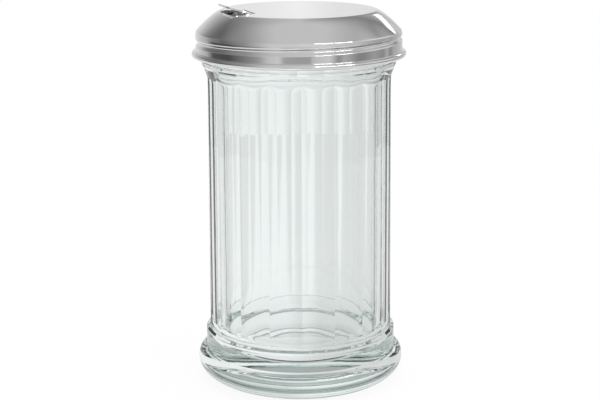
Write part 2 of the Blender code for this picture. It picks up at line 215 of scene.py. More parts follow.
def turned(name, angles, column, ring=False, caps=True):
    """A skin through one column of (radius, height) points per angle. A ring closes on itself."""
    columns = [column(angle) for angle in angles]
    count = len(columns[0])
    points = []
    for angle, rows in zip(angles, columns):
        along, across = math.cos(angle), math.sin(angle)
        points += [(r * along, r * across, z) for r, z in rows]
    faces = []
    for i in range(len(angles)):
        here, there = i * count, (i + 1) % len(angles) * count
        for j in range(count if ring else count - 1):
            k = (j + 1) % count
            faces.append((here + j, there + j, there + k, here + k))
    if caps and not ring:
        faces.append([i * count for i in range(len(angles))][::-1])
        faces.append([(i + 1) * count - 1 for i in range(len(angles))])
    return mesh_object(name, points, faces)


def finish_mesh(made, sharp_angle):
    """Outward faces, smooth shading, and hard edges only where the surface turns more than the angle."""
    bm = bmesh.new()
    bm.from_mesh(made.data)
    bmesh.ops.recalc_face_normals(bm, faces=bm.faces)
    bm.to_mesh(made.data)
    bm.free()
    made.data.shade_smooth()
    made.data.set_sharp_from_angle(angle=sharp_angle)
    print(f"{made.name}: {len(made.data.polygons)} faces")
    return made


def arc(centre_r, centre_z, reach_r, reach_z, first, last, steps):
    """Points of an elliptical arc, both ends included. Angle zero points away from the axis."""
    points = []
    for i in range(steps + 1):
        angle = first + (last - first) * i / steps
        points.append((centre_r + reach_r * math.cos(angle), centre_z + reach_z * math.sin(angle)))
    return points


def line(start, end, steps):
    """Points of a straight line, its start left out."""
    return [tuple(a + (b - a) * i / steps for a, b in zip(start, end)) for i in range(1, steps + 1)]


def curve_at(start, middle, end, share):
    """A point of a quadratic Bezier curve."""
    left = 1 - share
    weights = (left * left, 2 * left * share, share * share)
    return tuple(sum(w * v for w, v in zip(weights, values)) for values in zip(start, middle, end))


def smooth_share(value):
    """Eases a share from 0 to 1 with no corner at either end."""
    share = min(max(value, 0.0), 1.0)
    return share * share * (3 - 2 * share)


# %% [markdown]
# The jar's corners between flats are soft, because pressed glass is fire polished: the flame melts the
# mould's edges to a radius of about a millimetre. A bevel modifier could round a sharp prism, but here
# each corner is an arc that is tangent to both flats, which keeps the columns in order. Where the flats
# meet the flared collar they end in shallow scallops. A soft maximum of the two radii gives exactly that
# line, with a small fillet in it, and needs no Boolean.

# %% Cross-section of the jar
CORNER_R = 0.0012
SCALLOP_BLEND = 0.0003
LEDGE_FILLET = 0.0006
RING_ROUND = RING_EDGE / 2
HALF_FLAT = math.pi / FLATS
FLARE_MIDDLE_SHARE = 0.54
INNER_FLAT_SHARES = (0.14, 0.3, 0.43, 0.57, 0.7, 0.86)


def corner_turn(flat_r):
    """Half the angle that the rounded corner takes, seen from the axis."""
    centre = (flat_r - CORNER_R) / math.cos(HALF_FLAT)
    return math.atan2(CORNER_R * math.sin(HALF_FLAT), centre + CORNER_R * math.cos(HALF_FLAT))


def flat_radius(flat_r, angle):
    """The radius of the 18-sided section with round corners, in this direction."""
    turn = abs((angle - FLAT_TURN + HALF_FLAT) % (2 * HALF_FLAT) - HALF_FLAT)
    if turn >= corner_turn(flat_r):
        return flat_r / math.cos(HALF_FLAT - turn)
    centre = (flat_r - CORNER_R) / math.cos(HALF_FLAT)
    return centre * math.cos(turn) + math.sqrt(CORNER_R ** 2 - (centre * math.sin(turn)) ** 2)


def soft_max(a, b, blend):
    """The larger of two radii, with a fillet of about the blend where they cross."""
    return (a + b + math.sqrt((a - b) ** 2 + blend ** 2)) / 2


def flare_radius(z):
    """The collar's radius at a height: a Bezier curve that widens upwards."""
    rise = (z - FLARE_Z) / FLARE_HEIGHT
    if rise <= 0:
        return FLATS_HIGH_R - FLARE_SINK + rise * FLARE_SINK
    square, linear = 1 - 2 * FLARE_MIDDLE_SHARE, 2 * FLARE_MIDDLE_SHARE
    share = (math.sqrt(linear ** 2 + 4 * square * min(rise, 1.0)) - linear) / (2 * square)
    start, end = FLATS_HIGH_R - FLARE_SINK, COLLAR_R
    return curve_at((start,), ((start + end) / 2 + FLARE_SINK / 2,), (end,), share)[0]


jar_angles = []
turn = corner_turn(FLATS_LOW_R)
for flat in range(FLATS):
    corner = FLAT_TURN + flat * 2 * HALF_FLAT
    jar_angles += [corner - turn, corner - turn / 2, corner, corner + turn / 2, corner + turn]
    inner_start, inner_width = corner + turn, 2 * (HALF_FLAT - turn)
    jar_angles += [inner_start + inner_width * share for share in INNER_FLAT_SHARES]
print(f"{len(jar_angles)} columns round the jar, each corner {math.degrees(2 * turn):.2f} degrees wide")

# %% [markdown]
# The neck's thread is part of the glass. A screw modifier could wind it as a mesh of its own, which
# would then have to be joined on. Here its height over the neck is a function of the direction and the
# height: a smooth ridge that climbs by one pitch per turn and sinks into the neck at both ends. So the
# same columns carry it. The groove that is rolled into the lid's wall is the same function, taken
# inwards.

# %% Thread of the neck
RIDGE_ROOT_R = LID_INNER_R + SHEET / 2
RIDGE_REACH = SHEET / 2 + GROOVE_DEPTH
RIDGE_NARROWING = GROOVE_WIDTH - GROOVE_FLOOR
RIDGE_WIDTH = GROOVE_WIDTH + SHEET - RIDGE_NARROWING * (RIDGE_ROOT_R - THREAD_R) / RIDGE_REACH
THREAD_Z = GROOVE_Z + (RIDGE_WIDTH + THREAD_CREST) / 2 + THREAD_PLAY


def helix_height(angle, z, start, end, middle_z, base, crest):
    """0 to 1: how far a helical ridge is raised in this direction and at this height."""
    best = 0.0
    first = math.ceil((start - angle) / math.tau)
    last = math.floor((end - angle) / math.tau)
    for winding in range(first, last + 1):
        along = angle + winding * math.tau
        away = abs(z - middle_z - PITCH * along / math.tau)
        flank = smooth_share((base / 2 - away) / ((base - crest) / 2))
        fade = smooth_share(min(along - start, end - along) / THREAD_FADE)
        best = max(best, flank * fade)
    return best


print("the thread's middle passes", mm(THREAD_Z))

# %% [markdown]
# One column goes from the foot's recess up the outside and down the inside to the floor, so the wall's
# two sides are one closed skin and glass is refracted twice, as it is really. The foot stands on a ring,
# as pressed jars do. The mould's upper half meets the lower at the top of the collar and leaves a fine
# raised seam there.

# %% Columns of the jar
FOOT_STEPS = 6
BULGE_STEPS = 16
SHOULDER_STEPS = 8
EDGE_STEPS = 4
LEDGE_STEPS = 5
FLAT_STEPS = 22
SCALLOP_STEPS = 26
NECK_ROWS = 54
MOUTH_STEPS = 8
CAVITY_STEPS = 14
FLOOR_STEPS = 20
SCALLOP_REACH = 0.0035
SEAM_PROUD = 0.00025
SEAM_HEIGHT = 0.0005
SEAM_STEPS = 8


def foot_points():
    """From near the middle of the foot's recess, round the swelling foot, to the top of the ring on it."""
    recess_r = FOOT_R - FOOT_RING_WIDTH
    points = [(recess_r / FOOT_STEPS, FOOT_RECESS)]
    points += line(points[0], (recess_r - FOOT_RECESS, FOOT_RECESS), FOOT_STEPS)
    points += line(points[-1], (recess_r, 0), EDGE_STEPS)
    points += arc(FOOT_R, BULGE_HEIGHT, BULGE_R - FOOT_R, BULGE_HEIGHT, -math.pi / 2, 0, BULGE_STEPS)
    last = math.acos(1 - BULGE_PROUD / BULGE_SHOULDER)
    rise = BULGE_TOP_HEIGHT / math.sin(last)
    shoulder = arc(BULGE_R - BULGE_SHOULDER, BULGE_HEIGHT, BULGE_SHOULDER, rise, 0, last, SHOULDER_STEPS)
    points += shoulder[1:]
    ring_r, ring_z = RING_R - RING_ROUND, LEDGE_Z - RING_ROUND
    return points + arc(ring_r, ring_z, RING_ROUND, RING_ROUND, 0, math.pi / 2, EDGE_STEPS)


def side_points(angle):
    """From the ledge's fillet up the flats, through the scallops, to the widest place of the collar."""
    foot_r = flat_radius(FLATS_LOW_R, angle)
    fillet_r, fillet_z = foot_r + LEDGE_FILLET, LEDGE_Z + LEDGE_RISE / 2 + LEDGE_FILLET
    points = arc(fillet_r, fillet_z, LEDGE_FILLET, LEDGE_FILLET, -math.pi / 2, -math.pi, LEDGE_STEPS)
    scallop_z = FLARE_Z - SCALLOP_REACH
    heights = [z for _, z in line((0, fillet_z), (0, scallop_z), FLAT_STEPS)]
    heights += [z for _, z in line((0, scallop_z), (0, COLLAR_Z), SCALLOP_STEPS)]
    for z in heights:
        share = min((z - LEDGE_Z) / FLATS_HEIGHT, 1.0)
        flat = flat_radius(FLATS_LOW_R - FLATS_TAPER * share, angle)
        points.append((soft_max(flat, flare_radius(z), SCALLOP_BLEND), z))
    return points


def neck_points(angle, start):
    """From the collar, over the mould's seam and up the thread, to the top of the lip."""
    seam_r, seam_z = COLLAR_R - NECK_STEP / 2, NECK_Z - SEAM_HEIGHT / 2
    points = line(start, (seam_r, seam_z - SEAM_HEIGHT / 2), EDGE_STEPS)
    seam = arc(seam_r, seam_z, SEAM_PROUD, SEAM_HEIGHT / 2, -math.pi / 2, math.pi / 2, SEAM_STEPS)
    points += seam[1:] + [(NECK_R, NECK_Z)]
    ends = (NECK_THREAD_START, NECK_THREAD_END)
    for _, z in line((0, NECK_Z), (0, LIP_Z - LIP_HEIGHT), NECK_ROWS):
        raised = helix_height(angle, z, *ends, THREAD_Z, THREAD_BASE, THREAD_CREST)
        points.append((NECK_R + THREAD_HEIGHT * raised, z))
    return points + arc(LIP_R, LIP_Z - LIP_HEIGHT, LIP_TAPER, LIP_HEIGHT, 0, math.pi / 2, MOUTH_STEPS)[1:]


def cavity_points():
    """From the mouth's inner edge down the inside, and over the bowl to near the middle of the floor."""
    edge_r, edge_z = MOUTH_R + MOUTH_ROUND, LIP_Z - MOUTH_ROUND
    points = arc(edge_r, edge_z, MOUTH_ROUND, MOUTH_ROUND, math.pi / 2, math.pi, MOUTH_STEPS)
    taper_z = edge_z - MOUTH_TAPER_HEIGHT
    points += line((MOUTH_R, edge_z), (CAVITY_R, taper_z), CAVITY_STEPS)
    floor_r, floor_z = CAVITY_R - FLOOR_BEND_WIDTH, FLOOR_THICKNESS + FLOOR_BEND_HEIGHT
    points += line((CAVITY_R, taper_z), (CAVITY_R, floor_z), CAVITY_STEPS)
    bend = arc(floor_r, floor_z, FLOOR_BEND_WIDTH, FLOOR_BEND_HEIGHT, 0, -math.pi / 2, FLOOR_STEPS)
    return points + bend[1:] + line(bend[-1], (floor_r / FOOT_STEPS, FLOOR_THICKNESS), FOOT_STEPS)


def jar_column(angle):
    """The whole section of the jar in one direction."""
    side = side_points(angle)
    return foot_points() + side + neck_points(angle, side[-1]) + cavity_points()


TURNED_SHARP = math.radians(60)
jar = turned("glass_jar_visual", jar_angles, jar_column)
finish_mesh(jar, TURNED_SHARP)

# %% [markdown]
# The liner is a flat ring cut from polyethylene sheet, which seals the lip. A torus would be too round,
# so it is turned from a small rectangle whose corners are slightly rounded, as by the knife and by use.

# %% Liner
ROUND_COLUMNS = 180
LINER_EDGE = 0.0002
round_angles = [math.tau * i / ROUND_COLUMNS for i in range(ROUND_COLUMNS)]


def liner_column(angle):
    """The liner's section, from its low outer corner round to its low inner one."""
    inner_r = LINER_R - LINER_WIDTH
    low_z, high_z = LINER_Z + LINER_EDGE, LINER_TOP_Z - LINER_EDGE
    points = arc(LINER_R - LINER_EDGE, low_z, LINER_EDGE, LINER_EDGE, -math.pi / 2, 0, EDGE_STEPS)
    points += arc(LINER_R - LINER_EDGE, high_z, LINER_EDGE, LINER_EDGE, 0, math.pi / 2, EDGE_STEPS)
    points += arc(inner_r + LINER_EDGE, high_z, LINER_EDGE, LINER_EDGE, math.pi / 2, math.pi, EDGE_STEPS)
    points += arc(inner_r + LINER_EDGE, low_z, LINER_EDGE, LINER_EDGE, math.pi, 3 * math.pi / 2, EDGE_STEPS)
    return points


liner = turned("rim_liner_visual", round_angles, liner_column, ring=True)
finish_mesh(liner, TURNED_SHARP)

# %% [markdown]
# The lid starts as a flat disc that a press draws into a cap. Drawing leaves round edges everywhere: a
# wide one between crown and shoulder, a tight one at the bead. A roller then forms the groove for the
# thread, and curls the cut edge outwards into the rolled rim. A single skin with a solidify modifier
# would be quicker, but it would not close the rim's roll. So the profile is drawn as arcs and lines for
# the outer side, and the inner side is the same line moved in by the sheet's thickness.

# %% Profile of the lid
CROWN_STEPS = 14
BEND_STEPS = 8
EASE_STEPS = 26
BEAD_STEPS = 8
WALL_TOP_ROWS = 12
WALL_ROWS = 44
ROLL_STEPS = 26
LID_COLUMNS = 288
GROOVE_TOP_WIDTH = 0.0031
GROOVE_BOTTOM_WIDTH = 0.0001
lid_angles = [math.tau * i / LID_COLUMNS for i in range(LID_COLUMNS)]


def lid_outside():
    """The outer side of the drawn sheet, from the middle of the crown down to the top of the wall."""
    points = [(CROWN_FLAT_R / CROWN_STEPS, CROWN_Z)]
    points += line(points[0], (CROWN_FLAT_R, CROWN_Z), CROWN_STEPS)
    bend_z = CROWN_Z - CROWN_BEND
    first, last = math.pi / 2, math.pi / 2 - CROWN_EDGE_ANGLE
    points += arc(CROWN_FLAT_R, bend_z, CROWN_BEND, CROWN_BEND, first, last, BEND_STEPS)[1:]
    start, end = points[-1], (SHOULDER_END_R, SHOULDER_END_Z)
    steep, gentle = math.tan(SHOULDER_ANGLE), math.tan(CROWN_EDGE_ANGLE)
    meet = (steep * (end[0] - start[0]) - (start[1] - end[1])) / (steep - gentle)
    middle = (start[0] + meet, start[1] - gentle * meet)
    points += [curve_at(start, middle, end, (i + 1) / EASE_STEPS) for i in range(EASE_STEPS)]
    across, up = math.sin(SHOULDER_ANGLE), math.cos(SHOULDER_ANGLE)
    centre_r, centre_z = end[0] - BEAD_ROUND * across, end[1] - BEAD_ROUND * up
    first = math.pi / 2 - SHOULDER_ANGLE
    points += arc(centre_r, centre_z, BEAD_ROUND, BEAD_ROUND, first, BEAD_LEAN, BEAD_STEPS)[1:]
    run = LID_R - points[-1][0]
    return points + line(points[-1], (LID_R, points[-1][1] - run / math.tan(BEAD_LEAN)), WALL_TOP_ROWS)


def inset_points(points, distance):
    """The points moved square to their line, towards the axis and down."""
    moved = []
    for i, (r, z) in enumerate(points):
        before = points[max(i - 1, 0)]
        after = points[min(i + 1, len(points) - 1)]
        run_r, run_z = after[0] - before[0], after[1] - before[1]
        length = math.hypot(run_r, run_z)
        moved.append((r + run_z / length * distance, z - run_r / length * distance))
    return moved


OUTSIDE = lid_outside()
INSIDE = inset_points(OUTSIDE, SHEET)
ROLL_CENTRE_R = LID_R + ROLL_PROUD - ROLL_R
ROLL_CENTRE_Z = LID_FOOT_Z + ROLL_R
ROLL_FIRST = math.acos((LID_R - ROLL_CENTRE_R) / ROLL_R)
ROLL_LAST = -math.acos((LID_INNER_R - ROLL_CENTRE_R) / ROLL_R)
print("the wall of the lid starts at", mm(OUTSIDE[-1][1]))

# %% Mesh of the lid
def lid_column(angle):
    """The whole section: down the outside, round the rolled rim, and up the inside."""
    points = list(OUTSIDE)
    roll = arc(ROLL_CENTRE_R, ROLL_CENTRE_Z, ROLL_R, ROLL_R, ROLL_FIRST, ROLL_LAST, ROLL_STEPS)
    groove = (GROOVE_START, GROOVE_END, GROOVE_Z)
    wall = line(points[-1], (LID_R, roll[0][1]), WALL_ROWS)
    for _, z in wall[:-1]:
        sunk = helix_height(angle, z, *groove, GROOVE_TOP_WIDTH, GROOVE_BOTTOM_WIDTH)
        points.append((LID_R - GROOVE_DEPTH * sunk, z))
    points += roll
    inner_wall = line((LID_INNER_R, roll[-1][1]), (LID_INNER_R, INSIDE[-1][1]), WALL_ROWS)
    for _, z in inner_wall[:-1]:
        sunk = helix_height(angle, z, *groove, GROOVE_TOP_WIDTH + SHEET, GROOVE_BOTTOM_WIDTH + SHEET)
        points.append((LID_INNER_R - GROOVE_DEPTH * sunk, z))
    return points + INSIDE[::-1]


lid = turned("lid_shell_visual", lid_angles, lid_column)

# %% [markdown]
# The pouring hole is punched through the crown, so here a Boolean cuts it, as a punch would. Leaving out
# faces would be lighter work, but the hole's edges don't follow the lid's columns. The tool is the
# hole's outline as a thick plate. Its two far corners are round, and it widens away from the axis.

# %% Outlines
CORNER_STEPS = 10
CUT_OVERRUN = 0.003


def fan(near, far, near_width, far_width, corner):
    """The outline of a fan that widens from x = -near to x = -far, with two round far corners."""
    lean = math.atan2((far_width - near_width) / 2, far - near)
    turn = math.pi / 2 + lean
    inset = corner * math.tan(turn / 2)
    centre_x, centre_y = corner - far, far_width / 2 - inset
    outline = [(-near, near_width / 2)]
    for i in range(CORNER_STEPS + 1):
        angle = math.pi / 2 - lean + turn * i / CORNER_STEPS
        outline.append((centre_x + corner * math.cos(angle), centre_y + corner * math.sin(angle)))
    return outline + [(x, -y) for x, y in reversed(outline)]


def box_outline(x_low, x_high, width):
    """The outline of a rectangle that is centred on the X axis."""
    half = width / 2
    return [(x_low, -half), (x_high, -half), (x_high, half), (x_low, half)]


def plate(name, outline, low, high, matrix=Matrix.Identity(4)):
    """The closed outline as a plate from z = low to z = high, then moved by the matrix."""
    count = len(outline)
    points = [matrix @ Vector((x, y, z)) for z in (low, high) for x, y in outline]
    faces = [tuple(range(count))[::-1], tuple(range(count, 2 * count))]
    for i in range(count):
        j = (i + 1) % count
        faces.append((i, j, count + j, count + i))
    return mesh_object(name, points, faces)


def combine(target, tool, operation):
    """Cuts or joins with an exact Boolean, and deletes the tool."""
    step = target.modifiers.new("combine", "BOOLEAN")
    step.operation = operation
    step.object = tool
    step.solver = "EXACT"
    with bpy.context.temp_override(object=target):
        bpy.ops.object.modifier_apply(modifier=step.name)
    bpy.data.objects.remove(tool)


# %% Punch the hole
LID_SHARP = math.radians(40)
hole_far_reach = HOLE_NEAR_REACH + HOLE_LENGTH
hole = fan(HOLE_NEAR_REACH, hole_far_reach, HOLE_NEAR_WIDTH, HOLE_FAR_WIDTH, HOLE_CORNER)
hole_low = CROWN_UNDER_Z - CUT_OVERRUN
punch = plate("hole_tool", hole, hole_low, CROWN_Z + CUT_OVERRUN, Matrix.Rotation(HEADING, 4, "Z"))
finish_mesh(lid, LID_SHARP)
combine(lid, punch, "DIFFERENCE")
finish_mesh(lid, LID_SHARP)

# %% [markdown]
# Flap, bracket and pin are small parts of cut and bent sheet and wire. They could be pushed and pulled
# by hand from a cube, but plates and round bars that Booleans join keep every size in the list above.
# They are made at the origin, every edge of the sheet parts is broken by a small bevel, as tumbling does
# to pressed parts, and at the end they are moved to the hinge.

# %% Helpers for small parts
ROUND_STEPS = 40
TUMBLED_EDGE = 0.00012
TUMBLED_STEPS = 2
TUMBLED_ANGLE = math.radians(35)
PRESSED_SHARP = math.radians(50)


def bar(name, radius, length, edge=0.0):
    """A round bar along Y, centred on the origin, with its ends domed by the edge."""
    half = length / 2
    if edge > 0:
        rows = arc(radius - edge, edge - half, edge, edge, -math.pi / 2, 0, EDGE_STEPS)
        rows += arc(radius - edge, half - edge, edge, edge, 0, math.pi / 2, EDGE_STEPS)
    else:
        rows = [(radius, -half), (radius, half)]
    angles = [math.tau * i / ROUND_STEPS for i in range(ROUND_STEPS)]
    made = turned(name, angles, lambda angle: rows)
    made.data.transform(Matrix.Rotation(math.pi / 2, 4, "X"))
    return made


def tumble(made):
    """Breaks every hard edge with a small round bevel."""
    step = made.modifiers.new("edges", "BEVEL")
    step.width = TUMBLED_EDGE
    step.segments = TUMBLED_STEPS
    step.limit_method = "ANGLE"
    step.angle_limit = TUMBLED_ANGLE
    with bpy.context.temp_override(object=made):
        bpy.ops.object.modifier_apply(modifier=step.name)
    return finish_mesh(made, PRESSED_SHARP)


def hang(made):
    """Moves a small part from the origin to the hinge, turned with the pouring hole."""
    made.data.transform(Matrix.Translation(HINGE_CENTRE) @ Matrix.Rotation(HEADING, 4, "Z"))
    return made


# %% Flap
tilt = Matrix.Rotation(FLAP_TILT, 4, "Y")
neck = CROWN_Z - PIN_Z + FLAP_SIDE_GAP
blade = box_outline(-neck, FLAP_HEEL, FLAP_ROOT_WIDTH)[1:3]
blade += fan(neck, FLAP_LENGTH, FLAP_ROOT_WIDTH, HOLE_FAR_WIDTH - FLAP_NARROWING, FLAP_CORNER)
flap = plate("pour_flap_visual", blade, BLADE_UNDER, BLADE_TOP, tilt)
riser_outline = box_outline(-RISER_LENGTH / 2, RISER_LENGTH / 2, TAIL_WIDTH)
combine(flap, plate("riser_tool", riser_outline, 0, BLADE_UNDER + FLAP_SHEET / 2, tilt), "UNION")
combine(flap, bar("knuckle_tool", KNUCKLE_R, FLAP_ROOT_WIDTH), "UNION")
tail_outline = box_outline(0, TAIL_LENGTH, TAIL_WIDTH)
combine(flap, plate("tail_tool", tail_outline, KNUCKLE_R - FLAP_SHEET, KNUCKLE_R), "UNION")
combine(flap, bar("bore_tool", PIN_R + PIN_FIT, FLAP_ROOT_WIDTH + CUT_OVERRUN), "DIFFERENCE")
hang(tumble(flap))

# %% Bracket
ear_inner = FLAP_ROOT_WIDTH / 2 + TOUCH_GAP
ear_outer = ear_inner + EAR_SHEET
flange_start = math.hypot(TAIL_LENGTH, KNUCKLE_R) + TOUCH_GAP
flange_end = flange_start + FLANGE_LENGTH
ear = arc(0, 0, KNUCKLE_R, KNUCKLE_R, math.pi / 2, 3 * math.pi / 2, ROUND_STEPS // 2)
ear += [(KNUCKLE_R, -KNUCKLE_R), (flange_end, KNUCKLE_R - EAR_BACK_HEIGHT), (flange_end, KNUCKLE_R)]
upright = Matrix.Rotation(math.pi / 2, 4, "X")
bracket = plate("hinge_bracket_visual", ear, -ear_outer, -ear_inner, upright)
combine(bracket, plate("ear_tool", ear, ear_inner, ear_outer, upright), "UNION")
flange_outline = box_outline(flange_start, flange_end, ear_inner + ear_outer)
combine(bracket, plate("flange_tool", flange_outline, KNUCKLE_R - EAR_SHEET, KNUCKLE_R), "UNION")
combine(bracket, bar("eye_tool", PIN_R + PIN_FIT, 2 * ear_outer + CUT_OVERRUN), "DIFFERENCE")
hang(tumble(bracket))

# %% Pin
pin_outer = ear_outer + TOUCH_GAP
pin = bar("hinge_pin_visual", PIN_R, 2 * pin_outer + PIN_HEAD_LENGTH)
for side in (-1, 1):
    head = bar("head_tool", PIN_HEAD_R, PIN_HEAD_LENGTH, PIN_HEAD_DOME)
    head.data.transform(Matrix.Translation((0, side * (pin_outer + PIN_HEAD_LENGTH / 2), 0)))
    combine(pin, head, "UNION")
hang(finish_mesh(pin, PRESSED_SHARP))

# %% [markdown]
# Materials come next. Colours are written as the sRGB hex values that a colour picker shows, and one
# function turns them into the linear values that the shader works with. Another small function adds a
# node with its settings and its links. The node editor does the same by hand, but a script can be read
# from top to bottom.

# %% Helpers for materials
COLOUR_MIX = {"data_type": "RGBA"}


def linear(code):
    """A linear RGBA colour from an sRGB hex value such as 'D8DAD9', by the standard's formula."""
    channels = [int(code[i : i + 2], 16) / 255 for i in (0, 2, 4)]
    return tuple(c / 12.92 if c <= 0.04045 else ((c + 0.055) / 1.055) ** 2.4 for c in channels) + (1.0,)


def add(tree, kind, settings={}, values={}, links={}):
    """A node with its settings, the constant values of its sockets, and the outputs linked into them."""
    node = tree.nodes.new(kind)
    for name, value in settings.items():
        setattr(node, name, value)
    for socket, value in values.items():
        node.inputs[socket].default_value = value
    for socket, source in links.items():
        tree.links.new(source, node.inputs[socket])
    return node


def new_material(name):
    """An empty Principled material: returns it, its tree and its shader."""
    made = bpy.data.materials.new(name)
    made.use_nodes = True
    return made, made.node_tree, made.node_tree.nodes["Principled BSDF"]


def set_shader(shader, **values):
    """Sets the shader's own sockets, named with an underscore for each space."""
    for name, value in values.items():
        shader.inputs[name.replace("_", " ")].default_value = value


def use(piece, material, body, node):
    """Puts the material on a piece, which rides on its body and stands for its solid."""
    piece.data.materials.clear()
    piece.data.materials.append(material)
    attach(piece, body)
    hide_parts(node)
    print(f"{piece.name} is {material.name}, on the body {body}")


# %% [markdown]
# The jar is soda-lime glass, pressed and fire polished. Its refractive index is about 1.52. Iron in the
# sand gives thick places a faint green. A green surface would colour thin and thick places alike, so
# Volume Absorption does it, which deepens with the way that the light has gone inside the glass.
# Pressing leaves the surface very slightly wavy over a centimetre or two and finely pebbled over a few
# millimetres, which is what makes the reflections in it swim. That is far too shallow to model, so two
# noise textures give it as bump.

# %% Pressed glass
GLASS_IOR = 1.52
IRON_GREEN = "BCE8DE"
IRON_PER_METRE = 4.0
WAVE_MM = 14.0
WAVE_NOISE = {"Scale": PER_METRE / WAVE_MM, "Detail": 1.0}
WAVE_BUMP = {"Strength": 0.2, "Distance": 0.0005}
PEBBLE_MM = 2.5
PEBBLE_NOISE = {"Scale": PER_METRE / PEBBLE_MM, "Detail": 2.0}
PEBBLE_BUMP = {"Strength": 0.05, "Distance": 0.0001}
GLASS_TINTS = {"A": linear("F6F9F9"), "B": linear("FAFCFB")}

pressed_glass, tree, shader = new_material("soda_lime_glass_pressed")
place = add(tree, "ShaderNodeTexCoord").outputs["Object"]
wave = add(tree, "ShaderNodeTexNoise", values=WAVE_NOISE, links={"Vector": place}).outputs[0]
pebble = add(tree, "ShaderNodeTexNoise", values=PEBBLE_NOISE, links={"Vector": place}).outputs[0]
wavy = add(tree, "ShaderNodeBump", values=WAVE_BUMP, links={"Height": wave}).outputs["Normal"]
pebbled = add(tree, "ShaderNodeBump", values=PEBBLE_BUMP, links={"Height": pebble, "Normal": wavy})
tint = add(tree, "ShaderNodeMix", COLOUR_MIX, GLASS_TINTS, {"Factor": wave})
tree.links.new(tint.outputs["Result"], shader.inputs["Base Color"])
tree.links.new(pebbled.outputs["Normal"], shader.inputs["Normal"])
set_shader(shader, Roughness=0.0, IOR=GLASS_IOR, Transmission_Weight=1.0)
iron_values = {"Color": linear(IRON_GREEN), "Density": IRON_PER_METRE}
iron = add(tree, "ShaderNodeVolumeAbsorption", values=iron_values)
tree.links.new(iron.outputs[0], tree.nodes["Material Output"].inputs["Volume"])
use(jar, pressed_glass, "jar", "glass_jar")

# %% [markdown]
# The lid and the flap are stainless steel sheet, polished on a buffing wheel. Polished stainless sends
# back a bit under 80 percent of the light and its reflections are a little soft. The buff leaves very
# fine rings round the axis, and the press leaves the sheet slightly uneven, so that straight reflections
# wander. The shader's anisotropic setting could stretch the highlights as such rings do, but a noise
# over the radius and the height also gives single rings. The wheel doesn't reach what lies under the
# flat of the crown, nor the sheared edge of the hole: a test of the height and the radius finds them,
# and they are rougher.

# %% Polished stainless steel
# Real buffing lines are a few hundredths of a millimetre apart, and these are coarser so that they show
BUFF_MM = 0.35
BUFF_NOISE = {"Scale": PER_METRE / BUFF_MM, "Detail": 3.0}
BUFF_BUMP = {"Strength": 0.04, "Distance": 0.00005}
BUFF_ROUGHNESS = {"From Min": 0.3, "From Max": 0.7, "To Min": 0.07, "To Max": 0.12}
SHEET_WAVE_MM = 18.0
SHEET_NOISE = {"Scale": PER_METRE / SHEET_WAVE_MM, "Detail": 1.5}
SHEET_BUMP = {"Strength": 0.3, "Distance": 0.0003}
STEEL_TONES = {"A": linear("E2E3E3"), "B": linear("E8E8E7")}
BUFFED_DEPTH = 0.0001
DULL_TOP_Z = CROWN_Z - BUFFED_DEPTH
DULL_R = HOLE_NEAR_REACH + HOLE_LENGTH - BUFFED_DEPTH
DULL_ROUGHNESS_MORE = 0.35

polished_steel, tree, shader = new_material("stainless_steel_polished")
place = add(tree, "ShaderNodeTexCoord").outputs["Object"]
parts = add(tree, "ShaderNodeSeparateXYZ", links={"Vector": place}).outputs
level = add(tree, "ShaderNodeCombineXYZ", links={"X": parts["X"], "Y": parts["Y"]}).outputs[0]
radius = add(tree, "ShaderNodeVectorMath", {"operation": "LENGTH"}, links={0: level}).outputs["Value"]
ring_place = add(tree, "ShaderNodeCombineXYZ", links={"X": radius, "Z": parts["Z"]}).outputs[0]
rings = add(tree, "ShaderNodeTexNoise", values=BUFF_NOISE, links={"Vector": ring_place}).outputs[0]
uneven = add(tree, "ShaderNodeTexNoise", values=SHEET_NOISE, links={"Vector": place}).outputs[0]
sheet_bump = add(tree, "ShaderNodeBump", values=SHEET_BUMP, links={"Height": uneven}).outputs["Normal"]
ring_bump = add(tree, "ShaderNodeBump", values=BUFF_BUMP, links={"Height": rings, "Normal": sheet_bump})
buffed = add(tree, "ShaderNodeMapRange", values=BUFF_ROUGHNESS, links={"Value": rings}).outputs["Result"]
is_under = add(tree, "ShaderNodeMath", {"operation": "LESS_THAN"}, {1: DULL_TOP_Z}, {0: parts["Z"]})
is_within = add(tree, "ShaderNodeMath", {"operation": "LESS_THAN"}, {1: DULL_R}, {0: radius})
is_dull = add(
    tree,
    "ShaderNodeMath",
    {"operation": "MULTIPLY"},
    links={0: is_under.outputs[0], 1: is_within.outputs[0]},
)
roughness = add(
    tree,
    "ShaderNodeMath",
    {"operation": "MULTIPLY_ADD"},
    {1: DULL_ROUGHNESS_MORE},
    {0: is_dull.outputs[0], 2: buffed},
)
tone = add(tree, "ShaderNodeMix", COLOUR_MIX, STEEL_TONES, {"Factor": uneven})
tree.links.new(tone.outputs["Result"], shader.inputs["Base Color"])
tree.links.new(roughness.outputs[0], shader.inputs["Roughness"])
tree.links.new(ring_bump.outputs["Normal"], shader.inputs["Normal"])
set_shader(shader, Metallic=1.0)
use(lid, polished_steel, "lid", "lid_shell")
use(flap, polished_steel, "flap", "pour_flap")

# %% [markdown]
# The bracket and the pin inside the lid are the same steel left as rolled: greyer and duller, with short
# lines along the sheet from the rolling mill. A wave texture would draw even stripes, so the lines are a
# noise that is stretched one way and turned with the hinge.

# %% Plain stainless steel
# Real rolling lines are finer than this, which is as coarse as it has to be to show
GRAIN_MM = 0.25
GRAIN_STRETCH = 8.0
GRAIN_PLACE = {"Scale": (1.0, 1.0, GRAIN_STRETCH), "Rotation": (0.0, 0.0, HEADING)}
GRAIN_NOISE = {"Scale": PER_METRE / GRAIN_MM / GRAIN_STRETCH, "Detail": 4.0}
GRAIN_BUMP = {"Strength": 0.15, "Distance": 0.00005}
GRAIN_TONES = {"A": linear("B4B4B2"), "B": linear("CFCFCD")}

